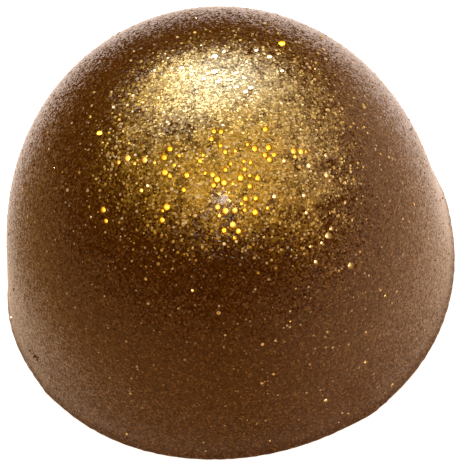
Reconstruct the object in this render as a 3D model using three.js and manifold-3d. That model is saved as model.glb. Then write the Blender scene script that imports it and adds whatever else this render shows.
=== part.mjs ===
// A moulded chocolate praline with gold glitter on its crown, in millimetres, +Z up.
// It is one solid: a domed shell whose wall leans out a little towards its foot, a thin
// lip of squeezed-out chocolate round the foot, a flat underside, and the largest glitter
// flakes, which stick to the shell. The origin is the middle of the underside.
import * as THREE from "three";
import { mergeVertices } from "three/addons/utils/BufferGeometryUtils.js";
import Module from "manifold-3d";

// Driving dimensions of the shell.
const footDiameter = 29;
const height = 19.5;
const wallInset = 0.45; // from the foot's edge in to where the dome alone would meet the table
const upExponent = 2.6; // across, the dome is an ellipse, and up it is squarer than one

// The mould's draught: the wall leans out towards the foot, and the lean fades out upwards.
const flareOut = 0.3;
const flareHeight = 3;

// The lip round the foot, left where the mould was scraped level.
const lipThickness = 0.15;
const lipEdgeIn = 0.06; // how far the underside's edge lies in from the lip's
const lipEdgeHeight = 0.05;
const lipTopIn = 0.02;
const lipCreaseHeight = 0.2; // where the lip's top has run up into the wall

// Places where the foot swells out or is scraped back, in degrees round from +X.
const footSwells = [
  { at: 17, proud: 0.38, spread: 8 },
  { at: 62, proud: -0.12, spread: 18 },
  { at: 118, proud: 0.12, spread: 16 },
  { at: 158, proud: -0.06, spread: 10 },
  { at: 185, proud: 0.07, spread: 9 },
  { at: 208, proud: 0.07, spread: 2.5 },
  { at: 228, proud: 0.06, spread: 16 },
  { at: 299, proud: 0.11, spread: 3.5 },
  { at: 303, proud: 0.13, spread: 12 },
  { at: 344, proud: -0.1, spread: 12 },
];
const swellHeight = 2.2; // how far up the wall a swell reaches, fading out

// Fineness of the faceted shell. Crowding above 1 brings the rings together at the foot.
const segments = 80;
const domeRings = 26;
const ringCrowding = 1.6;

// The glitter flakes large enough to be felt: thin plates with six sides.
const flakeSides = 6;
const smallestFlake = 0.24;
const largestFlake = 0.46;
const flakeTopShare = 0.88; // of the flake's own width
const flakeProud = 0.07;
const flakeSunk = 0.16;
const flakeTilt = 0.16; // sideways part of a flake's upright, for a bell draw of 1
const flakeGap = 0.36; // least distance between two flakes' middles

// Where the brush dabbed them on: each dab's middle and reach as seen from above.
const dabs = [
  { name: "far left", x: -4.3, y: -4.3, wide: 0.6, deep: 0.8, flakes: 6 },
  { name: "left", x: -2.2, y: -5.4, wide: 0.45, deep: 0.9, flakes: 9 },
  { name: "inner left", x: -0.2, y: -5.5, wide: 0.3, deep: 0.9, flakes: 6 },
  { name: "upper middle", x: 0.7, y: -3.9, wide: 0.3, deep: 0.4, flakes: 4 },
  { name: "middle", x: 1.4, y: -5.7, wide: 0.4, deep: 0.7, flakes: 10 },
  { name: "right", x: 2.8, y: -4.8, wide: 0.6, deep: 0.8, flakes: 9 },
  { name: "lower right", x: 2.0, y: -7.7, wide: 0.5, deep: 0.5, flakes: 7 },
  { name: "lower middle", x: 0.3, y: -7.9, wide: 0.35, deep: 0.4, flakes: 5 },
  { name: "lowest", x: 0.5, y: -9.0, wide: 0.4, deep: 0.2, flakes: 3 },
  { name: "far right", x: 5.4, y: -4.9, wide: 0.4, deep: 0.3, flakes: 4 },
  { name: "lower left", x: -3.4, y: -7.4, wide: 0.15, deep: 0.3, flakes: 2 },
  { name: "left edge", x: -6.9, y: -6.0, wide: 0.1, deep: 0.35, flakes: 2 },
  { name: "left fleck", x: -6.4, y: -1, wide: 0.05, deep: 0.05, flakes: 1 },
  { name: "back fleck", x: 5.7, y: 3.5, wide: 0.05, deep: 0.05, flakes: 1 },
  { name: "crown", x: 1.4, y: 0.4, wide: 2.0, deep: 1.3, flakes: 14 },
  { name: "right shoulder", x: 5.9, y: -6.3, wide: 1.3, deep: 1.8, flakes: 12 },
];
const strayFlakes = 28;
const strayLowest = 0.05; // as a share of the height
const outermostFlake = 0.985; // as a share of the dome's radius at the table

const footRadius = footDiameter / 2;
const domeRadius = footRadius - wallInset;
const quarterTurn = Math.PI / 2;

// A plain congruential generator, so that the same seed gives the same flakes each time.
const seed = 50812;
const drawFactor = 1664525;
const drawStep = 1013904223;
const drawRange = 2 ** 32;
const weldDistance = 1e-5;

let draw = seed;
function random() {
  draw = (draw * drawFactor + drawStep) % drawRange;
  return draw / drawRange;
}

// A draw round 0 with a spread of 1, as the sum of three even ones.
function bellRandom() {
  return 2 * (random() + random() + random()) - 3;
}

function domeRadiusAt(up) {
  return domeRadius * Math.sqrt(1 - (up / height) ** upExponent);
}

function domeHeightAt(radius) {
  return height * (1 - (radius / domeRadius) ** 2) ** (1 / upExponent);
}

// 1 at the table, and fading out upwards over a height.
function fade(up, over) {
  return Math.exp(-((up / over) ** 2));
}

// How far the foot stands out of its circle at an angle round the praline, in degrees.
function footSwell(around) {
  let sum = 0;
  for (const { at, proud, spread } of footSwells) {
    const away = THREE.MathUtils.euclideanModulo(around - at + 180, 360) - 180;
    sum += proud * Math.exp(-0.5 * (away / spread) ** 2);
  }
  return sum;
}

// Each ring of the shell from the underside's edge up: its radius, its height and the
// share that it takes of the foot's swells.
function shellRings() {
  const rings = [
    { radius: footRadius - lipEdgeIn, up: 0, swell: 1 },
    { radius: footRadius, up: lipEdgeHeight, swell: 1 },
    { radius: footRadius - lipTopIn, up: lipThickness, swell: 1 },
  ];
  const lowestRise = Math.asin((lipCreaseHeight / height) ** (upExponent / 2));
  for (let i = 0; i < domeRings; i += 1) {
    const share = (i / domeRings) ** ringCrowding;
    const rise = THREE.MathUtils.lerp(lowestRise, quarterTurn, share);
    const up = height * Math.sin(rise) ** (2 / upExponent);
    const radius = domeRadiusAt(up) + flareOut * fade(up, flareHeight);
    rings.push({ radius, up, swell: fade(up, swellHeight) });
  }
  return rings;
}

// The chocolate as rings of points joined by triangles, closed under and over.
function shellGeometry() {
  const rings = shellRings();
  const positions = [0, 0, 0];
  for (const { radius, up, swell } of rings) {
    for (let s = 0; s < segments; s += 1) {
      const around = (360 * s) / segments;
      const out = radius + swell * footSwell(around);
      const angle = THREE.MathUtils.degToRad(around);
      positions.push(out * Math.cos(angle), out * Math.sin(angle), up);
    }
  }
  positions.push(0, 0, height);
  const crown = positions.length / 3 - 1;
  const point = (ring, s) => 1 + ring * segments + (s % segments);
  const faces = [];
  for (let s = 0; s < segments; s += 1) {
    faces.push(0, point(0, s + 1), point(0, s));
    for (let ring = 0; ring + 1 < rings.length; ring += 1) {
      faces.push(point(ring, s), point(ring, s + 1), point(ring + 1, s + 1));
      faces.push(point(ring, s), point(ring + 1, s + 1), point(ring + 1, s));
    }
    faces.push(point(rings.length - 1, s), point(rings.length - 1, s + 1), crown);
  }
  const geometry = new THREE.BufferGeometry();
  geometry.setAttribute("position", new THREE.Float32BufferAttribute(positions, 3));
  geometry.setIndex(faces);
  return geometry;
}

// The point of the shell that stands out from the dome's own point over x and y, and the
// direction straight out of the shell there.
function pointOnShell(x, y) {
  const radius = Math.hypot(x, y);
  const up = domeHeightAt(radius);
  const around = THREE.MathUtils.radToDeg(Math.atan2(y, x));
  const flare = flareOut * fade(up, flareHeight);
  const wider = 1 + (flare + footSwell(around) * fade(up, swellHeight)) / radius;
  const outward = (2 * radius) / domeRadius ** 2;
  const lean = (2 * up * flare) / flareHeight ** 2;
  const upward = (upExponent * (up / height) ** (upExponent - 1)) / height + outward * lean;
  const normal = new THREE.Vector3((outward * x) / radius, (outward * y) / radius, upward);
  return {
    position: new THREE.Vector3(x * wider, y * wider, up),
    normal: normal.normalize(),
  };
}

// A place within a dab, and one anywhere on the dome above the foot.
function placeInDab({ x, y, wide, deep }) {
  return [x + wide * bellRandom(), y + deep * bellRandom()];
}

function placeAnywhere() {
  const up = height * (strayLowest + (1 - strayLowest) * random());
  const around = 2 * Math.PI * random();
  const radius = domeRadiusAt(up);
  return [radius * Math.cos(around), radius * Math.sin(around)];
}

// Adds as many flakes as asked at drawn places, none of them near another.
function scatterFlakes(flakes, count, drawPlace) {
  const wanted = flakes.length + count;
  while (flakes.length < wanted) {
    const [x, y] = drawPlace();
    const width = smallestFlake + (largestFlake - smallestFlake) * random() ** 2;
    const tilt = new THREE.Vector3(bellRandom(), bellRandom(), 0).multiplyScalar(flakeTilt);
    const turn = Math.PI * random();
    const onDome = Math.hypot(x, y) < outermostFlake * domeRadius;
    if (onDome) {
      const { position, normal } = pointOnShell(x, y);
      if (flakes.every((other) => other.position.distanceTo(position) > flakeGap)) {
        flakes.push({ width, turn, position, upright: normal.add(tilt).normalize() });
      }
    }
  }
}

// One flake: a plate that starts inside the chocolate and ends a little above it.
function flakeGeometry({ width, turn, position, upright }) {
  const thickness = flakeProud + flakeSunk;
  const radius = width / 2;
  const plate = new THREE.CylinderGeometry(flakeTopShare * radius, radius, thickness, flakeSides);
  plate.translate(0, flakeProud - thickness / 2, 0);
  plate.rotateY(turn);
  const cylinderAxis = new THREE.Vector3(0, 1, 0);
  plate.applyQuaternion(new THREE.Quaternion().setFromUnitVectors(cylinderAxis, upright));
  plate.translate(position.x, position.y, position.z);
  return plate;
}

const wasm = await Module();
wasm.setup();

function solidFrom(geometry) {
  const bare = new THREE.BufferGeometry();
  bare.setAttribute("position", geometry.getAttribute("position"));
  bare.setIndex(geometry.index);
  const merged = mergeVertices(bare, weldDistance);
  return new wasm.Manifold(
    new wasm.Mesh({
      numProp: 3,
      vertProperties: merged.attributes.position.array,
      triVerts: new Uint32Array(merged.index.array),
    }),
  );
}

function geometryFrom(solid) {
  const { numProp, numVert, vertProperties, triVerts } = solid.getMesh();
  const positions = new Float32Array(numVert * 3);
  for (let i = 0; i < numVert; i += 1) {
    positions.set(vertProperties.subarray(i * numProp, i * numProp + 3), i * 3);
  }
  const geometry = new THREE.BufferGeometry();
  geometry.setAttribute("position", new THREE.BufferAttribute(positions, 3));
  geometry.setIndex(new THREE.BufferAttribute(triVerts, 1));
  geometry.computeVertexNormals();
  return geometry;
}

const flakes = [];
for (const dab of dabs) {
  scatterFlakes(flakes, dab.flakes, () => placeInDab(dab));
}
scatterFlakes(flakes, strayFlakes, placeAnywhere);

let solid = solidFrom(shellGeometry());
for (const flake of flakes) {
  solid = solid.add(solidFrom(flakeGeometry(flake)));
}

const chocolate = new THREE.MeshStandardMaterial({
  color: 0x4a2408,
  roughness: 0.42,
  metalness: 0,
});
const praline = new THREE.Mesh(geometryFrom(solid), chocolate);
praline.name = "praline";

const model = new THREE.Group();
model.add(praline);

export default model;
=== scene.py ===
import math
import random

import bmesh
import bpy
from mathutils import Matrix, Vector, noise


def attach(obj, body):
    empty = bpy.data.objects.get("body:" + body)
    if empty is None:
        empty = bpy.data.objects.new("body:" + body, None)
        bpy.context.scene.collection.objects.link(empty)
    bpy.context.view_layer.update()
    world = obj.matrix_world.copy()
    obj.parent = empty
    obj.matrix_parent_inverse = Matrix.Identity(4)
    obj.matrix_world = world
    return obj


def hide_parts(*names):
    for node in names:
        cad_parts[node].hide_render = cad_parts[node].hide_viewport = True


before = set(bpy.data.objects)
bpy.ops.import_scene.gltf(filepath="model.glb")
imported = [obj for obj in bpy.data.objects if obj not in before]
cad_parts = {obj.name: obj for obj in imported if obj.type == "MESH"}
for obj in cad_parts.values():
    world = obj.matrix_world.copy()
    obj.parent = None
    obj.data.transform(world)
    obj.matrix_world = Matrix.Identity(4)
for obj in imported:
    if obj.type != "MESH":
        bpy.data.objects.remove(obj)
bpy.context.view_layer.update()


# The view. The praline stands on a white table and is seen from above its front,
# with the camera turned a little so that the dome leans to the left.
MM = 0.001
CAMERA_DISTANCE = 319 * MM
LOOK_DOWN = math.radians(52.825)
CAMERA_ROLL = math.radians(-10.353)
FOCAL_LENGTH = 387.5  # millimetres, over the camera's 36 mm
AIM_HEIGHT = 9.75 * MM
AIM_RIGHT = 1.016 * MM
AIM_UP = -3.432 * MM
CLIP_NEAR = 10 * MM
CLIP_FAR = 10

forward = Vector((0, math.cos(LOOK_DOWN), -math.sin(LOOK_DOWN)))
level_right = Vector((1, 0, 0))
level_up = level_right.cross(forward)
turn = Matrix.Rotation(CAMERA_ROLL, 3, -forward)
right = turn @ level_right
up = turn @ level_up
aim = Vector((0, 0, AIM_HEIGHT)) + AIM_RIGHT * right + AIM_UP * up
camera = bpy.data.objects.new("camera", bpy.data.cameras.new("camera"))
camera.data.lens = FOCAL_LENGTH
camera.data.clip_start = CLIP_NEAR
camera.data.clip_end = CLIP_FAR
camera.matrix_world = Matrix.Translation(aim - CAMERA_DISTANCE * forward) @ Matrix(
    (right, up, -forward)
).transposed().to_4x4()
bpy.context.scene.collection.objects.link(camera)
bpy.context.scene.camera = camera
bpy.context.scene.view_settings.view_transform = "Standard"


# The table: a lit white top, which the camera sees as pure white. What the praline
# mirrors of it is painted light, a glow set by place: warm, brighter to the right and
# whiter close by, darker in front as a painted shadow, with a painted pool of white light
# behind and a painted dim stretch beyond the pool.
TABLE_SIDE = 3.0
TABLE_GAP = 0.01 * MM
TABLE_WHITE = (0.9, 0.9, 0.9)
TABLE_ROUGHNESS = 0.9
TABLE_SHINE = 0.9  # the light of its own that the camera sees
# The glow colours are painted light; the dimmer front one is a painted shadow.
TABLE_GLOW_LEFT = (0.92, 0.48, 0.16)
TABLE_GLOW_FRONT = (0.70, 0.37, 0.11)
TABLE_GLOW_RIGHT = (1.60, 1.00, 0.55)
TABLE_GLOW_CLOSE = (1.30, 1.00, 0.75)
CLOSE_SHARE = 0.6

# Round each middle a glow is full up to the first reach, and gone at the second.
CLOSE_MIDDLE = (0, 6 * MM, 0)
CLOSE_REACH = (16 * MM, 25 * MM)
DIM_GLOW = (0.04, 0.01, 0)
DIM_MIDDLE = (0, 400 * MM, 0)
DIM_REACH = (325 * MM, 362 * MM)
POOL_GLOW = (1.85, 1.46, 1.24)
POOL_MIDDLE = (3 * MM, 27 * MM, 0)
POOL_REACH = (19 * MM, 35 * MM)

table_mesh = bmesh.new()
bmesh.ops.create_grid(table_mesh, x_segments=1, y_segments=1, size=TABLE_SIDE / 2)
bmesh.ops.translate(table_mesh, verts=table_mesh.verts, vec=(0, 0, -TABLE_GAP))
table_data = bpy.data.meshes.new("table")
table_mesh.to_mesh(table_data)
table_mesh.free()
table = bpy.data.objects.new("table", table_data)
bpy.context.scene.collection.objects.link(table)
white = bpy.data.materials.new("white_table")
white.use_nodes = True
nodes = white.node_tree.nodes
links = white.node_tree.links
top = nodes["Principled BSDF"]
top.inputs["Base Color"].default_value = (*TABLE_WHITE, 1)
top.inputs["Roughness"].default_value = TABLE_ROUGHNESS
top.inputs["Emission Color"].default_value = (1, 1, 1, 1)
top.inputs["Emission Strength"].default_value = TABLE_SHINE
coords = nodes.new("ShaderNodeTexCoord")
way = nodes.new("ShaderNodeVectorMath")
way.operation = "NORMALIZE"
links.new(coords.outputs["Object"], way.inputs[0])
axes = nodes.new("ShaderNodeSeparateXYZ")
links.new(way.outputs["Vector"], axes.inputs["Vector"])
side_glow = (*TABLE_GLOW_FRONT, 1)
for colour, to_side in ((TABLE_GLOW_LEFT, -1), (TABLE_GLOW_RIGHT, 1)):
    turned_to = nodes.new("ShaderNodeMath")
    turned_to.operation = "MULTIPLY"
    turned_to.use_clamp = True
    turned_to.inputs[1].default_value = to_side
    links.new(axes.outputs["X"], turned_to.inputs[0])
    sided = nodes.new("ShaderNodeMix")
    sided.data_type = "RGBA"
    links.new(turned_to.outputs["Value"], sided.inputs["Factor"])
    if to_side < 0:
        sided.inputs["A"].default_value = side_glow
    else:
        links.new(side_glow, sided.inputs["A"])
    sided.inputs["B"].default_value = (*colour, 1)
    side_glow = sided.outputs["Result"]


def glow_near(middle, reach, share, under, over):
    """The table's glow with a share of one colour laid over another round a middle."""
    away = nodes.new("ShaderNodeVectorMath")
    away.operation = "DISTANCE"
    links.new(coords.outputs["Object"], away.inputs[0])
    away.inputs[1].default_value = middle
    near = nodes.new("ShaderNodeMapRange")
    near.interpolation_type = "SMOOTHSTEP"
    near.inputs["From Min"].default_value = reach[0]
    near.inputs["From Max"].default_value = reach[1]
    near.inputs["To Min"].default_value = share
    near.inputs["To Max"].default_value = 0
    links.new(away.outputs["Value"], near.inputs["Value"])
    blend = nodes.new("ShaderNodeMix")
    blend.data_type = "RGBA"
    links.new(near.outputs["Result"], blend.inputs["Factor"])
    for socket, colour in (("A", under), ("B", over)):
        if isinstance(colour, tuple):
            blend.inputs[socket].default_value = (*colour, 1)
        else:
            links.new(colour, blend.inputs[socket])
    return blend.outputs["Result"]


close = glow_near(CLOSE_MIDDLE, CLOSE_REACH, CLOSE_SHARE, side_glow, TABLE_GLOW_CLOSE)
dim = glow_near(DIM_MIDDLE, DIM_REACH, 1, close, DIM_GLOW)
pool = glow_near(POOL_MIDDLE, POOL_REACH, 1, dim, POOL_GLOW)
# The painted light is what the praline mirrors; the camera sees the white top.
glow = nodes.new("ShaderNodeEmission")
links.new(pool, glow.inputs["Color"])
seen = nodes.new("ShaderNodeLightPath")
either = nodes.new("ShaderNodeMixShader")
links.new(seen.outputs["Is Camera Ray"], either.inputs["Fac"])
links.new(glow.outputs["Emission"], either.inputs[1])
links.new(top.outputs["BSDF"], either.inputs[2])
links.new(either.outputs["Shader"], nodes["Material Output"].inputs["Surface"])
table_data.materials.append(white)


# The light: a dim warm room, a wide softbox high behind the praline, a weak one above
# the camera with a small lamp in it, and a low window far to the right.
ROOM = (0.17, 0.08, 0.012)

# Each light: degrees round and up, metres away, wide and deep, strength and colour.
LIGHTS = [
    ("softbox_behind", 88, 50, 0.5, 0.40, 0.15, 9, (1, 0.95, 0.88)),
    ("softbox_above", -82, 60, 0.7, 0.35, 0.35, 1.65, (1, 0.84, 0.62)),
    ("lamp_above", -82, 58, 0.6, 0.05, 0.05, 26, (1, 0.82, 0.70)),
    ("window_right", 18, 6, 0.6, 0.62, 0.24, 1.4, (1, 0.68, 0.38)),
]

world = bpy.data.worlds.new("studio")
bpy.context.scene.world = world
world.use_nodes = True
nodes = world.node_tree.nodes
links = world.node_tree.links
seen = nodes.new("ShaderNodeLightPath")
room = nodes.new("ShaderNodeMix")
room.data_type = "RGBA"
room.inputs["A"].default_value = (*ROOM, 1)
room.inputs["B"].default_value = (1, 1, 1, 1)
links.new(seen.outputs["Is Camera Ray"], room.inputs["Factor"])
links.new(room.outputs["Result"], nodes["Background"].inputs["Color"])
for name, around, rise, distance, width, depth, radiance, colour in LIGHTS:
    a, e = math.radians(around), math.radians(rise)
    towards = Vector((math.cos(a) * math.cos(e), math.sin(a) * math.cos(e), math.sin(e)))
    lamp = bpy.data.lights.new(name, "AREA")
    lamp.shape = "RECTANGLE"
    lamp.size = width
    lamp.size_y = depth
    lamp.energy = radiance * math.pi * width * depth
    lamp.color = colour
    light = bpy.data.objects.new(name, lamp)
    light.location = towards * distance + Vector((0, 0, AIM_HEIGHT))
    light.rotation_mode = "QUATERNION"
    light.rotation_quaternion = towards.to_track_quat("Z", "Y")
    bpy.context.scene.collection.objects.link(light)


# The chocolate shell: tempered dark chocolate set in a polished mould, so it is one
# dome whose wall leans out towards the foot, with a thin lip where the mould was
# scraped level and a flat underside.
FOOT_RADIUS = 14.5 * MM
DOME_HEIGHT = 19.5 * MM
DOME_RADIUS = 14.05 * MM
UP_EXPONENT = 2.6
FLARE_OUT = 0.3 * MM
FLARE_HEIGHT = 3 * MM
LIP_TOP = 0.95 * MM
SWELL_HEIGHT = 3.2 * MM
SHELL_SEGMENTS = 320
SHELL_RINGS = 150
RING_CROWDING = 1.6
UNDERSIDE_RINGS = 60
MERGE_DISTANCE = 0.0005 * MM

# The lip's section in millimetres: how far in from the foot's edge, and how high.
LIP_SECTION = [
    (0.060, 0.000),
    (0.025, 0.012),
    (0.005, 0.035),
    (0.000, 0.070),
    (0.008, 0.130),
    (0.030, 0.200),
    (0.065, 0.300),
    (0.100, 0.430),
    (0.135, 0.580),
    (0.158, 0.750),
]

# Where the foot swells out or is scraped back: degrees round, millimetres, degrees wide.
FOOT_SWELLS = [
    (17, 0.38, 8),
    (62, -0.12, 18),
    (118, 0.12, 16),
    (158, -0.06, 10),
    (185, 0.07, 9),
    (208, 0.07, 2.5),
    (228, 0.06, 16),
    (299, 0.11, 3.5),
    (303, 0.13, 12),
    (344, -0.10, 12),
]

# How ragged the scraped lip is: waves round the foot and their depth in millimetres.
LIP_WAVES = [(67, 0.006), (89, 0.007), (113, 0.008), (131, 0.006)]
RAGGED_HEIGHT = 0.6 * MM
RAGGED_FALL = 20  # how fast the waves die out inwards over the underside

# The brushed dust seen from above, in millimetres: each dab's middle and reach, and how
# much of the shell it covers. Below 0 it takes dust away.
DUST_DABS = [
    (0.2, 0.35, 2.5, 1.9, 1.0),
    (5.3, -3.6, 2.25, 4.2, 0.57),
    (0.6, -6.8, 2.7, 1.8, 0.68),
    (-3.5, -3.6, 2.4, 2.6, 0.44),
    (1.7, -3.6, 1.5, 1.6, 0.36),
    (-2.2, -2.2, 1.3, 1.0, -0.08),
    (0.3, -7.3, 0.6, 0.45, -0.5),
]

# The brush left the dust in clumps, drawn out along its strokes.
CLUMP_WIDTH = 0.8
CLUMP_LENGTH = 1.3
CLUMP_DEPTH = 0.5
CLUMP_FADING = 0.5
CLUMP_STEP = 2
CLUMP_LAYERS = 3
STROKE_X = 0.65
STROKE_Y = 0.76

# Where the dust is painted a pale lemon gold rather than a deep one: a painted highlight, for the
# white light the dust mirrors there.
PAINTED_HIGHLIGHT_SPOTS = [
    (1.9, 0.6, 2.7, 1.8, 1.0),
    (7.3, -5.2, 2.1, 3.6, 0.5),
    (-1.5, -2.3, 1.8, 0.9, 0.35),
]

# Where the brush rubbed the shell clean, so that it mirrors the lamp.
RUBBED_DABS = [(0.3, -7.3, 0.6, 0.45, 1.0)]


def dome_radius_at(height):
    """The dome's own radius, without the lean of its wall."""
    return DOME_RADIUS * math.sqrt(max(0, 1 - (height / DOME_HEIGHT) ** UP_EXPONENT))


def dome_height_at(radius):
    return DOME_HEIGHT * max(0, 1 - (radius / DOME_RADIUS) ** 2) ** (1 / UP_EXPONENT)


def fade(height, over):
    """1 at the table, and fading out upwards over a height."""
    return math.exp(-((height / over) ** 2))


def foot_swell(around):
    """How far the foot stands out at an angle round it."""
    total = 0
    for at, proud, spread in FOOT_SWELLS:
        away = (around - at + 180) % 360 - 180
        total += proud * MM * math.exp(-0.5 * (away / spread) ** 2)
    return total


def brushed(dabs, place):
    """How much the brush left at a place, from 0 to 1."""
    x, y = place.x / MM, place.y / MM
    total = 0
    for at_x, at_y, wide, deep, amount in dabs:
        away = ((x - at_x) / wide) ** 2 + ((y - at_y) / deep) ** 2
        total += amount * math.exp(-0.5 * away)
    return min(max(total, 0), 1)


def dusted(place):
    """How much dust lies at a place, from 0 to 1, clumps and all."""
    x, y = place.x / MM, place.y / MM
    along = (x * STROKE_X + y * STROKE_Y) / CLUMP_LENGTH
    across = (y * STROKE_X - x * STROKE_Y) / CLUMP_WIDTH
    spot = Vector((along, across, 0))
    clump = noise.fractal(spot, CLUMP_FADING, CLUMP_STEP, CLUMP_LAYERS)
    return min(max(brushed(DUST_DABS, place) * (1 + CLUMP_DEPTH * clump), 0), 1)


def shell_outline():
    """Points from the underside's middle out, round the lip and up to the crown."""
    edge = FOOT_RADIUS - LIP_SECTION[0][0] * MM
    points = [(edge * i / UNDERSIDE_RINGS, 0) for i in range(UNDERSIDE_RINGS)]
    points += [(FOOT_RADIUS - inwards * MM, upwards * MM) for inwards, upwards in LIP_SECTION]
    lowest = math.asin((LIP_TOP / DOME_HEIGHT) ** (UP_EXPONENT / 2))
    for i in range(SHELL_RINGS):
        share = (i / SHELL_RINGS) ** RING_CROWDING
        rise = lowest + (math.pi / 2 - lowest) * share
        height = DOME_HEIGHT * math.sin(rise) ** (2 / UP_EXPONENT)
        points.append((dome_radius_at(height) + FLARE_OUT * fade(height, FLARE_HEIGHT), height))
    points.append((0, DOME_HEIGHT))
    return points


shell_mesh = bmesh.new()
outline = [shell_mesh.verts.new((radius, 0, height)) for radius, height in shell_outline()]
for one, other in zip(outline, outline[1:]):
    shell_mesh.edges.new((one, other))
bmesh.ops.spin(
    shell_mesh,
    geom=shell_mesh.verts[:] + shell_mesh.edges[:],
    axis=(0, 0, 1),
    cent=(0, 0, 0),
    angle=2 * math.pi,
    steps=SHELL_SEGMENTS,
    use_merge=True,
)
bmesh.ops.remove_doubles(shell_mesh, verts=shell_mesh.verts, dist=MERGE_DISTANCE)
bmesh.ops.recalc_face_normals(shell_mesh, faces=shell_mesh.faces)
for vert in shell_mesh.verts:
    radius = math.hypot(vert.co.x, vert.co.y)
    if radius > 0:
        around = math.degrees(math.atan2(vert.co.y, vert.co.x))
        ragged = sum(
            depth * MM * math.sin(waves * math.radians(around) + waves)
            for waves, depth in LIP_WAVES
        )
        out = foot_swell(around) * fade(vert.co.z, SWELL_HEIGHT) * radius / FOOT_RADIUS
        out += ragged * fade(vert.co.z, RAGGED_HEIGHT) * (radius / FOOT_RADIUS) ** RAGGED_FALL
        vert.co.x *= 1 + out / radius
        vert.co.y *= 1 + out / radius
for face in shell_mesh.faces:
    face.smooth = True
shell_data = bpy.data.meshes.new("praline_shell")
shell_mesh.to_mesh(shell_data)
shell_mesh.free()
for name, amount_at in (
    ("dust_cover", dusted),
    ("dust_painted_highlight", lambda place: brushed(PAINTED_HIGHLIGHT_SPOTS, place)),
    ("rubbed_clean", lambda place: brushed(RUBBED_DABS, place)),
):
    amounts = [amount_at(vert.co) for vert in shell_data.vertices]
    shell_data.attributes.new(name, "FLOAT", "POINT").data.foreach_set("value", amounts)
shell = bpy.data.objects.new("praline_shell", shell_data)
bpy.context.scene.collection.objects.link(shell)

# Its skin: brown grains of cocoa and sugar a tenth of a millimetre across, a few of them
# pale, each at its own small turn, and a film of gold specks where the brush went.
GRAIN_SCALE = 9500
GRAIN_TURN = 0.37
GRAIN_ROUGHNESS = 0.2
RUBBED_ROUGHNESS = 0.1
SHELL_IOR = 1.45
SPECK_DEEP = (0.84, 0.47, 0.01)
SPECK_MIDDLE = (1.0, 0.78, 0.14)
# The pale speck colour is the painted highlight's colour.
SPECK_PALE = (1.0, 0.95, 0.68)
SPECK_METAL = 0.5
SPECK_TURN = 0.5
SPECK_ROUGHNESS = 0.35
SPECK_EDGE = 1.5  # how softly a speck goes from bare to covered as the cover grows
FILM_SHARE = 0.79  # of the cover; the larger specks laid on top make up the rest

# Share of the grains up to each brown.
GRAIN_BROWNS = [
    (0.00, (0.050, 0.011, 0.0001)),
    (0.50, (0.088, 0.026, 0.0003)),
    (0.85, (0.135, 0.050, 0.0040)),
    (1.00, (0.255, 0.140, 0.0620)),
]

chocolate = bpy.data.materials.new("dark_chocolate")
chocolate.use_nodes = True
nodes = chocolate.node_tree.nodes
links = chocolate.node_tree.links
skin = nodes["Principled BSDF"]
skin.inputs["IOR"].default_value = SHELL_IOR
coords = nodes.new("ShaderNodeTexCoord")
grains = nodes.new("ShaderNodeTexVoronoi")
grains.inputs["Scale"].default_value = GRAIN_SCALE
links.new(coords.outputs["Object"], grains.inputs["Vector"])
drawn = nodes.new("ShaderNodeSeparateColor")
links.new(grains.outputs["Color"], drawn.inputs["Color"])
brown = nodes.new("ShaderNodeValToRGB")
brown.color_ramp.elements.remove(brown.color_ramp.elements[0])
for share, colour in GRAIN_BROWNS[:-1]:
    brown.color_ramp.elements.new(share)
for element, (share, colour) in zip(brown.color_ramp.elements, GRAIN_BROWNS):
    element.position = share
    element.color = (*colour, 1)
links.new(drawn.outputs["Blue"], brown.inputs["Fac"])


def maths(operation, one, other, clamped=False):
    """A maths node of the skin, each side a socket or a plain number."""
    node = nodes.new("ShaderNodeMath")
    node.operation = operation
    node.use_clamp = clamped
    for socket, value in zip(node.inputs, (one, other)):
        if isinstance(value, bpy.types.NodeSocket):
            links.new(value, socket)
        else:
            socket.default_value = value
    return node.outputs["Value"]


# A grain is gilded where the cover is above its own draw.
cover = nodes.new("ShaderNodeAttribute")
cover.attribute_name = "dust_cover"
covered = maths("MULTIPLY", cover.outputs["Fac"], FILM_SHARE * (1 + SPECK_EDGE))
above = maths("SUBTRACT", covered, drawn.outputs["Red"])
gilt = maths("DIVIDE", above, SPECK_EDGE, clamped=True)
speck_colour = nodes.new("ShaderNodeValToRGB")
speck_colour.color_ramp.elements[0].color = (*SPECK_DEEP, 1)
speck_colour.color_ramp.elements[1].color = (*SPECK_MIDDLE, 1)
links.new(drawn.outputs["Green"], speck_colour.inputs["Fac"])
# The specks are painted paler where the painted highlight lies, for the white light they mirror.
paleness = nodes.new("ShaderNodeAttribute")
paleness.attribute_name = "dust_painted_highlight"
paler = nodes.new("ShaderNodeMix")
paler.data_type = "RGBA"
links.new(paleness.outputs["Fac"], paler.inputs["Factor"])
links.new(speck_colour.outputs["Color"], paler.inputs["A"])
paler.inputs["B"].default_value = (*SPECK_PALE, 1)
skin_colour = nodes.new("ShaderNodeMix")
skin_colour.data_type = "RGBA"
links.new(gilt, skin_colour.inputs["Factor"])
links.new(brown.outputs["Color"], skin_colour.inputs["A"])
links.new(paler.outputs["Result"], skin_colour.inputs["B"])
links.new(skin_colour.outputs["Result"], skin.inputs["Base Color"])
links.new(maths("MULTIPLY", gilt, SPECK_METAL), skin.inputs["Metallic"])
rubbed = nodes.new("ShaderNodeAttribute")
rubbed.attribute_name = "rubbed_clean"
uneven = maths("SUBTRACT", 1, rubbed.outputs["Fac"])
rougher = maths("MULTIPLY", gilt, SPECK_ROUGHNESS - GRAIN_ROUGHNESS)
rougher = maths("ADD", rougher, GRAIN_ROUGHNESS - RUBBED_ROUGHNESS)
rougher = maths("MULTIPLY", rougher, uneven)
links.new(maths("ADD", rougher, RUBBED_ROUGHNESS), skin.inputs["Roughness"])

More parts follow.
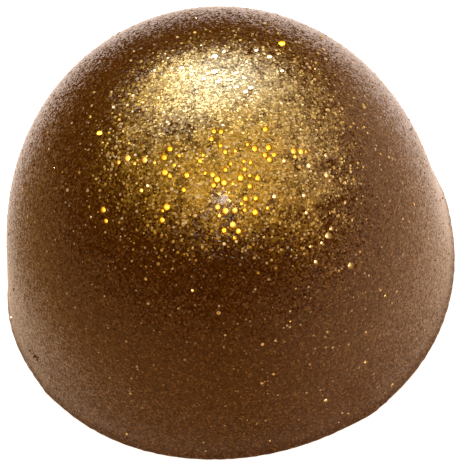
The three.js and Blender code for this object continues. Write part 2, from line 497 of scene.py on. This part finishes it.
# The turns are drawn apart from the cover, so that a speck may lean any way.
other_draw = nodes.new("ShaderNodeTexWhiteNoise")
links.new(grains.outputs["Color"], other_draw.inputs["Vector"])
centred = nodes.new("ShaderNodeVectorMath")
centred.operation = "SUBTRACT"
centred.inputs[1].default_value = (0.5, 0.5, 0.5)
links.new(other_draw.outputs["Color"], centred.inputs[0])
reach = maths("ADD", maths("MULTIPLY", gilt, SPECK_TURN - GRAIN_TURN), GRAIN_TURN)
reach = maths("MULTIPLY", reach, uneven)
leaning = nodes.new("ShaderNodeVectorMath")
leaning.operation = "SCALE"
links.new(centred.outputs["Vector"], leaning.inputs["Vector"])
links.new(reach, leaning.inputs["Scale"])
turned = nodes.new("ShaderNodeVectorMath")
turned.operation = "ADD"
upright = nodes.new("ShaderNodeNewGeometry")
links.new(upright.outputs["Normal"], turned.inputs[0])
links.new(leaning.outputs["Vector"], turned.inputs[1])
unit = nodes.new("ShaderNodeVectorMath")
unit.operation = "NORMALIZE"
links.new(turned.outputs["Vector"], unit.inputs[0])
links.new(unit.outputs["Vector"], skin.inputs["Normal"])
shell_data.materials.append(chocolate)
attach(shell, "root")
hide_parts("praline")


# The gold lustre dust: thousands of mica specks a tenth to a quarter of a millimetre
# across, brushed dry over the crown, where they stick to the cocoa butter.
DUST_SPECKS = 4200
DUST_SEED = 41
DUST_REACH = 11 * MM
DUST_FALL = 1.5  # how much sooner the specks thin out than the film under them
SMALLEST_SPECK = 0.09 * MM
LARGEST_SPECK = 0.26 * MM
SPECK_TILT = 0.26
SPECK_PALEST = 0.8
SHADE_SKEW = 2.5  # the higher, the fewer flakes are pale
GOLD_SPECULAR = 0.3
GLAZE_ROUGHNESS = 0.08
GLAZE_IOR = 1.8


def shell_place(x, y):
    """The shell's point outwards of the dome's own over x and y, and its normal."""
    radius = math.hypot(x, y)
    height = dome_height_at(radius)
    flare = FLARE_OUT * fade(height, FLARE_HEIGHT)
    around = math.degrees(math.atan2(y, x))
    wider = 1 + (flare + foot_swell(around) * fade(height, SWELL_HEIGHT)) / radius
    outward = 2 * radius / DOME_RADIUS**2
    upward = UP_EXPONENT * (height / DOME_HEIGHT) ** (UP_EXPONENT - 1) / DOME_HEIGHT
    upward += outward * 2 * height * flare / FLARE_HEIGHT**2
    normal = Vector((outward * x / radius, outward * y / radius, upward)).normalized()
    return Vector((x * wider, y * wider, height)), normal


def flake_mesh(sides, top_share, thickness, proud):
    """One plate a unit across, with its foot under the surface at z = 0."""
    plate = bmesh.new()
    bmesh.ops.create_cone(
        plate,
        cap_ends=True,
        segments=sides,
        radius1=0.5,
        radius2=0.5 * top_share,
        depth=thickness,
    )
    bmesh.ops.translate(plate, verts=plate.verts, vec=(0, 0, proud - thickness / 2))
    return plate


def lay_flakes(name, plate, places):
    """A copy of the plate at every place, as one mesh with a drawn shade on each flake."""
    plate.verts.ensure_lookup_table()
    corners = [vert.co.copy() for vert in plate.verts]
    rings = [[vert.index for vert in face.verts] for face in plate.faces]
    verts, faces, shades = [], [], []
    for position, upright, turn, width, shade in places:
        spin = upright.to_track_quat("Z", "Y").to_matrix() @ Matrix.Rotation(turn, 3, "Z")
        first = len(verts)
        verts.extend(position + spin @ (corner * width) for corner in corners)
        faces.extend([first + i for i in ring] for ring in rings)
        shades.extend([shade] * len(rings))
    plate.free()
    data = bpy.data.meshes.new(name)
    data.from_pydata(verts, [], faces)
    data.attributes.new("shade", "FLOAT", "FACE").data.foreach_set("value", shades)
    piece = bpy.data.objects.new(name, data)
    bpy.context.scene.collection.objects.link(piece)
    return piece


def drawn_tilt(draws, amount):
    """A lean any way, as a push on the normal."""
    return Vector((draws.gauss(0, amount), draws.gauss(0, amount), draws.gauss(0, amount)))


dust_draws = random.Random(DUST_SEED)
dust_places = []
while len(dust_places) < DUST_SPECKS:
    x, y = (dust_draws.uniform(-DUST_REACH, DUST_REACH) for _ in range(2))
    spot = Vector((x, y, 0))
    if spot.length < DUST_REACH and dust_draws.random() < dusted(spot) ** DUST_FALL:
        position, normal = shell_place(x, y)
        upright = (normal + drawn_tilt(dust_draws, SPECK_TILT)).normalized()
        larger = dust_draws.random() ** 2
        width = SMALLEST_SPECK + (LARGEST_SPECK - SMALLEST_SPECK) * larger
        turn = dust_draws.uniform(0, math.pi)
        # Painted highlight: a speck is painted paler where it lies, for the white light it
        # mirrors.
        pale = brushed(PAINTED_HIGHLIGHT_SPOTS, spot)
        shade = pale + (1 - pale) * SPECK_PALEST * dust_draws.random() ** SHADE_SKEW
        dust_places.append((position, upright, turn, width, shade))
speck = flake_mesh(sides=5, top_share=0.8, thickness=0.4, proud=0.1)
dust = lay_flakes("gold_dust", speck, dust_places)


def gold(name, deep, pale, metallic, roughness, coat):
    """Gilded flakes that run from a deep colour to a pale one, under a clear coat."""
    material = bpy.data.materials.new(name)
    material.use_nodes = True
    nodes = material.node_tree.nodes
    links = material.node_tree.links
    shader = nodes["Principled BSDF"]
    shader.inputs["Metallic"].default_value = metallic
    shader.inputs["Roughness"].default_value = roughness
    shader.inputs["Specular IOR Level"].default_value = GOLD_SPECULAR
    shader.inputs["Coat Weight"].default_value = coat
    shader.inputs["Coat Roughness"].default_value = GLAZE_ROUGHNESS
    shader.inputs["Coat IOR"].default_value = GLAZE_IOR
    shade = nodes.new("ShaderNodeAttribute")
    shade.attribute_name = "shade"
    ramp = nodes.new("ShaderNodeValToRGB")
    ramp.color_ramp.elements[0].color = (*deep, 1)
    ramp.color_ramp.elements[1].color = (*pale, 1)
    links.new(shade.outputs["Fac"], ramp.inputs["Fac"])
    links.new(ramp.outputs["Color"], shader.inputs["Base Color"])
    return material


dust.data.materials.append(
    gold(
        "dust_gold",
        deep=(0.92, 0.64, 0.10),
        pale=(1.0, 0.96, 0.66),
        metallic=0.4,
        roughness=0.5,
        coat=0,
    )
)
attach(dust, "root")


# The pale glitter: thin flakes of one to three tenths of a millimetre that stick where
# the dust lies, and finer strays all over the shell, which fell from the brush.
PALE_IN_DUST = 400
PALE_SEED = 77
PALE_TILT = 0.2
PALE_WIDTH = 0.11
PALE_WIDER = 0.19
PALE_STRAYS = 1600
STRAYS_TOWARDS = math.radians(-30)
STRAYS_ALL_ROUND = 0.6
STRAYS_ONE_WAY = 0.4
STRAYS_LOWEST = 0.02
STRAYS_RISE = 0.97
STRAYS_SKEW = 0.8  # below 1, so that more of them lie high up
STRAY_TILT = 0.12
STRAY_WIDTH = 0.09
STRAY_WIDER = 0.14


def place_round(around, height):
    """The shell's point at an angle round it and a height, and its normal."""
    radius = dome_radius_at(height)
    return shell_place(radius * math.cos(around), radius * math.sin(around))


pale_draws = random.Random(PALE_SEED)
pale_places = []
while len(pale_places) < PALE_IN_DUST:
    x, y = (pale_draws.uniform(-DUST_REACH, DUST_REACH) for _ in range(2))
    spot = Vector((x, y, 0))
    if spot.length < DUST_REACH and pale_draws.random() < dusted(spot):
        position, normal = shell_place(x, y)
        upright = (normal + drawn_tilt(pale_draws, PALE_TILT)).normalized()
        width = (PALE_WIDTH + PALE_WIDER * pale_draws.random() ** 2) * MM
        turn = pale_draws.uniform(0, math.pi)
        pale_places.append((position, upright, turn, width, pale_draws.random()))
pale_flake = flake_mesh(sides=6, top_share=0.8, thickness=0.4, proud=0.14)
pale_glitter = lay_flakes("pale_glitter", pale_flake, pale_places)
pale_glitter.data.materials.append(
    gold(
        "pale_gold",
        deep=(1.0, 0.78, 0.34),
        pale=(1.0, 0.94, 0.74),
        metallic=0.6,
        roughness=0.4,
        coat=0.4,
    )
)
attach(pale_glitter, "root")

stray_places = []
while len(stray_places) < PALE_STRAYS:
    height = DOME_HEIGHT * (STRAYS_LOWEST + STRAYS_RISE * pale_draws.random() ** STRAYS_SKEW)
    around = pale_draws.uniform(0, 2 * math.pi)
    share_here = STRAYS_ALL_ROUND + STRAYS_ONE_WAY * math.cos(around - STRAYS_TOWARDS)
    if pale_draws.random() < share_here:
        position, normal = place_round(around, height)
        upright = (normal + drawn_tilt(pale_draws, STRAY_TILT)).normalized()
        width = (STRAY_WIDTH + STRAY_WIDER * pale_draws.random() ** 2) * MM
        turn = pale_draws.uniform(0, math.pi)
        shade = pale_draws.random() ** SHADE_SKEW
        stray_places.append((position, upright, turn, width, shade))
stray_flake = flake_mesh(sides=6, top_share=0.8, thickness=0.4, proud=0.1)
strays = lay_flakes("stray_glitter", stray_flake, stray_places)
strays.data.materials.append(
    gold(
        "stray_gold",
        deep=(0.24, 0.165, 0.115),
        pale=(0.95, 0.86, 0.68),
        metallic=0.1,
        roughness=0.4,
        coat=0,
    )
)
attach(strays, "root")


# The bright glitter: the largest gilded flakes, dabbed on under a glaze that makes them
# shallow drops. They lie where the solid's own do, by the same draws. The dabbed ones in
# front are turned to the lamp, and those behind lie level and mirror the softbox.
SMALLEST_FLAKE = 0.24
LARGEST_FLAKE = 0.46
FLAKE_TILT = 0.16
FLAKE_LEVELLING = 5
SINGLE_LEVELLING = 10
FLAKE_CROWN = 0.10
FLAKE_SKIRT = 0.3
FLAKE_RAISE = 0.10  # of its width, so that a flake stands clear of the slope
FLAKE_GLAZE = 1.12  # how much wider the glaze makes a flake look
STRAY_SHARE = 0.6  # of a stray's width that its gold still covers
FACING_BEHIND = Vector((0, 0.07, 1))  # the way that mirrors the softbox behind
FACING_LAMP = Vector((0.04, -0.56, 0.83))  # the way that mirrors the lamp above
LAMP_SIDE = -2.5 * MM  # the flakes in front of this mirror the lamp
UNEVEN_SHADE = 0.02
FLAKE_GAP = 0.36
STRAY_FLAKES = 28
STRAY_LOWEST = 0.05
STRAY_PALE = 0.5
OUTERMOST_FLAKE = 0.985
FLAKE_SEED = 50812
SHADE_SEED = 5
DRAW_FACTOR = 1664525
DRAW_SHIFT = 1013904223
DRAW_RANGE = 2**32

# Each dab's middle and reach as seen from above, in millimetres, its number of flakes,
# and how pale they are; the pale crown and right-hand dabs are a painted highlight, for
# the white light their flakes mirror.
FLAKE_DABS = [
    (-4.3, -4.3, 0.6, 0.8, 6, 0.15),
    (-2.2, -5.4, 0.45, 0.9, 9, 0),
    (-0.2, -5.5, 0.3, 0.9, 6, 0),
    (0.7, -3.9, 0.3, 0.4, 4, 0),
    (1.4, -5.7, 0.4, 0.7, 10, 0),
    (2.8, -4.8, 0.6, 0.8, 9, 0),
    (2.0, -7.7, 0.5, 0.5, 7, 0),
    (0.3, -7.9, 0.35, 0.4, 5, 0.1),
    (0.5, -9.0, 0.4, 0.2, 3, 0),
    (5.4, -4.9, 0.4, 0.3, 4, 0.1),
    (-3.4, -7.4, 0.15, 0.3, 2, 0),
    (-6.9, -6.0, 0.1, 0.35, 2, 0),
    (-6.4, -1, 0.05, 0.05, 1, 0),
    (5.7, 3.5, 0.05, 0.05, 1, 0),
    (1.4, 0.4, 2.0, 1.3, 14, 0.9),
    (5.9, -6.3, 1.3, 1.8, 12, 0.6),
]

# Single flecks that stand out: degrees round, height and width in millimetres, paleness.
SINGLE_FLECKS = [
    (257, 13.4, 0.22, 0.3),
    (284, 10.4, 0.13, 0.2),
    (301, 4.4, 0.22, 0.5),
    (313, 7.9, 0.19, 0.5),
    (288, 3.2, 0.26, 0.7),
    (293, 1.1, 0.13, 0.4),
    (307, 0.9, 0.18, 0.5),
    (235, 1.1, 0.18, 0.5),
    (272, 1.2, 0.14, 0.5),
    (302, 13.7, 0.22, 0.7),
    (298, 13.9, 0.20, 0.6),
    (344, 13.0, 0.16, 0.6),
    (186, 15.3, 0.10, 0.8),
    (33, 18.6, 0.26, 1.0),
    (84, 17.5, 0.13, 0.8),
    (183, 0.6, 0.16, 0.5),
    (184, 0.9, 0.18, 0.6),
]


def even_draws(seed):
    """The same plain generator as the solid's, so that the flakes agree."""
    while True:
        seed = (seed * DRAW_FACTOR + DRAW_SHIFT) % DRAW_RANGE
        yield seed / DRAW_RANGE


chance = even_draws(FLAKE_SEED)


def bell():
    """A draw from -3 to 3 that is mostly near 0."""
    return 2 * (next(chance) + next(chance) + next(chance)) - 3


def raised(position, normal, tilt, levelling, turn, width, shade):
    """One flake to lay: clear of the slope, and turned to the light as far as asked."""
    facing = FACING_LAMP if position.y < LAMP_SIDE else FACING_BEHIND
    upright = (normal + tilt + levelling * facing).normalized()
    return position + normal * FLAKE_RAISE * width, upright, turn, width, shade


def scatter_flakes(flakes, count, draw_place, levelling, size, pale):
    """So many more flakes, each where a drawn place is on the shell and still free."""
    wanted = len(flakes) + count
    while len(flakes) < wanted:
        x, y = draw_place()
        width = SMALLEST_FLAKE + (LARGEST_FLAKE - SMALLEST_FLAKE) * next(chance) ** 2
        tilt = Vector((bell(), bell(), 0)) * FLAKE_TILT
        turn = math.pi * next(chance)
        if math.hypot(x, y) < OUTERMOST_FLAKE * DOME_RADIUS / MM:
            position, normal = shell_place(x * MM, y * MM)
            if all((other - position).length > FLAKE_GAP * MM for other in taken):
                taken.append(position)
                shade = min(1, pale + next(shade_draws) * UNEVEN_SHADE)
                flakes.append(raised(position, normal, tilt, levelling, turn, width * size, shade))


shade_draws = even_draws(SHADE_SEED)
taken = []
flakes = []
for x, y, wide, deep, count, pale in FLAKE_DABS:
    scatter_flakes(
        flakes,
        count,
        lambda: (x + wide * bell(), y + deep * bell()),
        FLAKE_LEVELLING,
        FLAKE_GLAZE * MM,
        pale,
    )
dabbed = len(flakes)


def place_anywhere():
    """A drawn place on the shell as seen from above, in millimetres."""
    height = DOME_HEIGHT * (STRAY_LOWEST + (1 - STRAY_LOWEST) * next(chance))
    around = 2 * math.pi * next(chance)
    radius = dome_radius_at(height) / MM
    return radius * math.cos(around), radius * math.sin(around)


def drop_mesh():
    """One shallow drop a unit across, with its skirt under the surface at z = 0."""
    drop = bmesh.new()
    bmesh.ops.create_uvsphere(drop, u_segments=10, v_segments=8, radius=0.5)
    for vert in drop.verts:
        vert.co.z *= FLAKE_CROWN if vert.co.z > 0 else FLAKE_SKIRT
    for face in drop.faces:
        face.smooth = True
    return drop


scatter_flakes(flakes, STRAY_FLAKES, place_anywhere, 0, STRAY_SHARE * MM, STRAY_PALE)
bright_places = flakes[:dabbed]
for around, height, width, shade in SINGLE_FLECKS:
    position, normal = place_round(math.radians(around), height * MM)
    bright_places.append(
        raised(position, normal, Vector(), SINGLE_LEVELLING, 0, width * MM, shade)
    )
bright_glitter = lay_flakes("bright_glitter", drop_mesh(), bright_places)
bright_glitter.data.shade_smooth()
bright_glitter.data.materials.append(
    gold(
        "bright_gold",
        deep=(1.0, 0.56, 0.002),
        pale=(1.0, 0.92, 0.66),
        metallic=1,
        roughness=0.26,
        coat=0.5,
    )
)
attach(bright_glitter, "root")
loose_glitter = lay_flakes("loose_glitter", drop_mesh(), flakes[dabbed:])
loose_glitter.data.shade_smooth()
loose_glitter.data.materials.append(
    gold(
        "loose_gold",
        deep=(0.85, 0.62, 0.25),
        pale=(1.0, 0.9, 0.6),
        metallic=0.5,
        roughness=0.4,
        coat=0,
    )
)
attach(loose_glitter, "root")


# The crumbs: a few dull specks of dark chocolate, a tenth to a quarter of a millimetre
# across, that stuck low on the left when the mould was scraped.
CRUMB_HEIGHT = 0.5  # of its width
CRUMB_ROUGHNESS = 0.8
CRUMB_SPECULAR = 0.2
CRUMB_GRAIN = 20000
CRUMB_DARK = (0.050, 0.018, 0.003)
CRUMB_LIGHT = (0.150, 0.070, 0.020)

# Each crumb: degrees round, height and width in millimetres.
CRUMBS = [
    (198.0, 2.00, 0.10),
    (198.8, 1.86, 0.14),
    (199.6, 2.14, 0.10),
    (200.4, 2.00, 0.12),
    (201.2, 1.88, 0.14),
    (201.9, 2.16, 0.20),
    (202.6, 2.30, 0.24),
    (203.2, 2.12, 0.16),
    (203.7, 2.46, 0.14),
    (204.9, 2.36, 0.10),
]

crumb = bmesh.new()
bmesh.ops.create_icosphere(crumb, subdivisions=2, radius=0.5)
for vert in crumb.verts:
    vert.co.z *= CRUMB_HEIGHT
crumb_places = []
for around, height, width in CRUMBS:
    position, normal = place_round(math.radians(around), height * MM)
    crumb_places.append((position, normal, 0, width * MM, 0))
crumbs = lay_flakes("chocolate_crumbs", crumb, crumb_places)
dark = bpy.data.materials.new("dark_crumb")
dark.use_nodes = True
nodes = dark.node_tree.nodes
links = dark.node_tree.links
crumb_skin = nodes["Principled BSDF"]
crumb_skin.inputs["Roughness"].default_value = CRUMB_ROUGHNESS
crumb_skin.inputs["Specular IOR Level"].default_value = CRUMB_SPECULAR
crumb_coords = nodes.new("ShaderNodeTexCoord")
crumb_noise = nodes.new("ShaderNodeTexNoise")
crumb_noise.inputs["Scale"].default_value = CRUMB_GRAIN
links.new(crumb_coords.outputs["Object"], crumb_noise.inputs["Vector"])
crumb_browns = nodes.new("ShaderNodeValToRGB")
crumb_browns.color_ramp.elements[0].color = (*CRUMB_DARK, 1)
crumb_browns.color_ramp.elements[1].color = (*CRUMB_LIGHT, 1)
links.new(crumb_noise.outputs["Fac"], crumb_browns.inputs["Fac"])
links.new(crumb_browns.outputs["Color"], crumb_skin.inputs["Base Color"])
crumbs.data.materials.append(dark)
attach(crumbs, "root")
